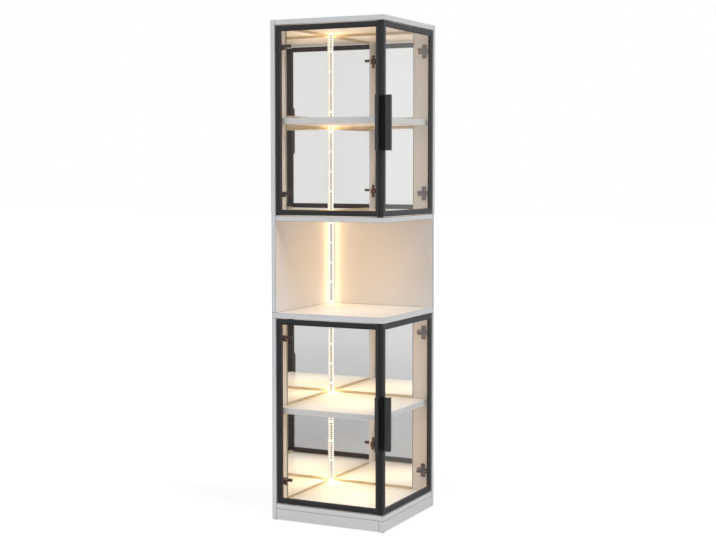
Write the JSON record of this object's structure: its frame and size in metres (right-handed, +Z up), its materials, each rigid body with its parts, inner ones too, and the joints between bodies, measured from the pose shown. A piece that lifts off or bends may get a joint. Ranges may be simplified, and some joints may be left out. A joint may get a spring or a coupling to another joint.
{
  "type": "display cabinet",
  "caption": "Tall square display cabinet with glazed compartments above and below an open lit niche, and framed glass doors on the front and one side.",
  "frame": {"origin": "on the floor, in the middle of the overall box with the handles", "axes": "+Z up, -Y to the front with the wide doors' face, +X to the glazed side"},
  "size_m": [0.476, 0.476, 1.813],
  "materials": {
    "white_board": "white laminate on board",
    "frame_bronze": "dark anodised",
    "handle_bronze": "dark anodised",
    "clear_glass": "clear toughened",
    "mirror_glass": "silvered",
    "hinge_bronze": "bronze plated",
    "hinge_steel": "plated",
    "fitting_steel": "zinc plated",
    "fitting_zinc": "die-cast zinc",
    "dowel_wood": "raw beech",
    "glide_plastic": "moulded",
    "buffer_rubber": "translucent",
    "light_metal": "satin",
    "light_strip": "flexible light strip"
  },
  "bodies": {
    "carcass": {"left_wall_lower": "white_board", "left_wall_upper": "white_board", "back_wall_lower": "white_board", "back_wall_upper": "white_board", "base_board": "white_board", "middle_board": "white_board", "niche_ceiling_board": "white_board", "top_board": "white_board", "front_kick_board": "white_board", "side_kick_board": "white_board", "foot_glides": "glide_plastic", "lower_shelf": "white_board", "upper_shelf": "white_board", "shelf_connectors": "fitting_steel", "lower_left_mirror": "mirror_glass", "lower_back_mirror": "mirror_glass", "upper_left_mirror": "mirror_glass", "upper_back_mirror": "mirror_glass", "light_channels": "light_metal", "light_strips": "light_strip", "corner_buffers": "buffer_rubber", "connector_bolts": "fitting_steel", "cam_locks": "fitting_zinc", "board_dowels": "dowel_wood", "panel_screws": "fitting_steel", "hinge_plates": "hinge_bronze", "hinge_arms": "hinge_bronze", "plate_screws": "fitting_steel"},
    "lower_front_door": {"lower_front_hinge_stile": "frame_bronze", "lower_front_meeting_stile": "frame_bronze", "lower_front_rails": "frame_bronze", "lower_front_glass": "clear_glass", "lower_front_handle": "handle_bronze", "lower_front_hinge_brackets": "hinge_bronze"},
    "lower_front_inner_levers": {"lower_front_inner_levers": "hinge_steel"},
    "lower_front_outer_levers": {"lower_front_outer_levers": "hinge_steel"},
    "lower_side_door": {"lower_side_hinge_stile": "frame_bronze", "lower_side_meeting_stile": "frame_bronze", "lower_side_rails": "frame_bronze", "lower_side_glass": "clear_glass", "lower_side_handle": "handle_bronze", "lower_side_hinge_brackets": "hinge_bronze"},
    "lower_side_inner_levers": {"lower_side_inner_levers": "hinge_steel"},
    "lower_side_outer_levers": {"lower_side_outer_levers": "hinge_steel"},
    "upper_front_door": {"upper_front_hinge_stile": "frame_bronze", "upper_front_meeting_stile": "frame_bronze", "upper_front_rails": "frame_bronze", "upper_front_glass": "clear_glass", "upper_front_handle": "handle_bronze", "upper_front_hinge_brackets": "hinge_bronze"},
    "upper_front_inner_levers": {"upper_front_inner_levers": "hinge_steel"},
    "upper_front_outer_levers": {"upper_front_outer_levers": "hinge_steel"},
    "upper_side_door": {"upper_side_hinge_stile": "frame_bronze", "upper_side_meeting_stile": "frame_bronze", "upper_side_rails": "frame_bronze", "upper_side_glass": "clear_glass", "upper_side_handle": "handle_bronze", "upper_side_hinge_brackets": "hinge_bronze"},
    "upper_side_inner_levers": {"upper_side_inner_levers": "hinge_steel"},
    "upper_side_outer_levers": {"upper_side_outer_levers": "hinge_steel"}
  },
  "joints": [
    {"name": "lower_front_inner_lever_turn", "type": "hinge", "parent": "carcass", "child": "lower_front_inner_levers", "pos_m": [-0.193, -0.188, 0.401], "axis": [0, 0, 1], "range_deg": [0, 100]},
    {"name": "lower_front_door_fold", "type": "hinge", "parent": "lower_front_inner_levers", "child": "lower_front_door", "pos_m": [-0.212, -0.193, 0.401], "axis": [0, 0, -1], "range_deg": [0, 200]},
    {"name": "lower_front_outer_lever_turn", "type": "hinge", "parent": "carcass", "child": "lower_front_outer_levers", "pos_m": [-0.18175, -0.16778, 0.401], "axis": [0, 0, 1], "range_deg": [0, 60.1]},
    {"name": "lower_side_inner_lever_turn", "type": "hinge", "parent": "carcass", "child": "lower_side_inner_levers", "pos_m": [0.188, 0.193, 0.401], "axis": [0, 0, -1], "range_deg": [0, 100]},
    {"name": "lower_side_door_fold", "type": "hinge", "parent": "lower_side_inner_levers", "child": "lower_side_door", "pos_m": [0.193, 0.212, 0.401], "axis": [0, 0, 1], "range_deg": [0, 200]},
    {"name": "lower_side_outer_lever_turn", "type": "hinge", "parent": "carcass", "child": "lower_side_outer_levers", "pos_m": [0.16778, 0.18175, 0.401], "axis": [0, 0, -1], "range_deg": [0, 60.1]},
    {"name": "upper_front_inner_lever_turn", "type": "hinge", "parent": "carcass", "child": "upper_front_inner_levers", "pos_m": [-0.193, -0.188, 1.454], "axis": [0, 0, 1], "range_deg": [0, 100]},
    {"name": "upper_front_door_fold", "type": "hinge", "parent": "upper_front_inner_levers", "child": "upper_front_door", "pos_m": [-0.212, -0.193, 1.454], "axis": [0, 0, -1], "range_deg": [0, 200]},
    {"name": "upper_front_outer_lever_turn", "type": "hinge", "parent": "carcass", "child": "upper_front_outer_levers", "pos_m": [-0.18175, -0.16778, 1.454], "axis": [0, 0, 1], "range_deg": [0, 60.1]},
    {"name": "upper_side_inner_lever_turn", "type": "hinge", "parent": "carcass", "child": "upper_side_inner_levers", "pos_m": [0.188, 0.193, 1.454], "axis": [0, 0, -1], "range_deg": [0, 100]},
    {"name": "upper_side_door_fold", "type": "hinge", "parent": "upper_side_inner_levers", "child": "upper_side_door", "pos_m": [0.193, 0.212, 1.454], "axis": [0, 0, 1], "range_deg": [0, 200]},
    {"name": "upper_side_outer_lever_turn", "type": "hinge", "parent": "carcass", "child": "upper_side_outer_levers", "pos_m": [0.16778, 0.18175, 1.454], "axis": [0, 0, -1], "range_deg": [0, 60.1]}
  ],
  "couplings": [
    {"joint": "lower_front_inner_lever_turn", "follows": "lower_front_door_fold", "ratio": 0.5},
    {"joint": "lower_front_outer_lever_turn", "follows": "lower_front_door_fold", "ratio": 0.3005},
    {"joint": "lower_side_inner_lever_turn", "follows": "lower_side_door_fold", "ratio": 0.5},
    {"joint": "lower_side_outer_lever_turn", "follows": "lower_side_door_fold", "ratio": 0.3005},
    {"joint": "upper_front_inner_lever_turn", "follows": "upper_front_door_fold", "ratio": 0.5},
    {"joint": "upper_front_outer_lever_turn", "follows": "upper_front_door_fold", "ratio": 0.3005},
    {"joint": "upper_side_inner_lever_turn", "follows": "upper_side_door_fold", "ratio": 0.5},
    {"joint": "upper_side_outer_lever_turn", "follows": "upper_side_door_fold", "ratio": 0.3005}
  ]
}
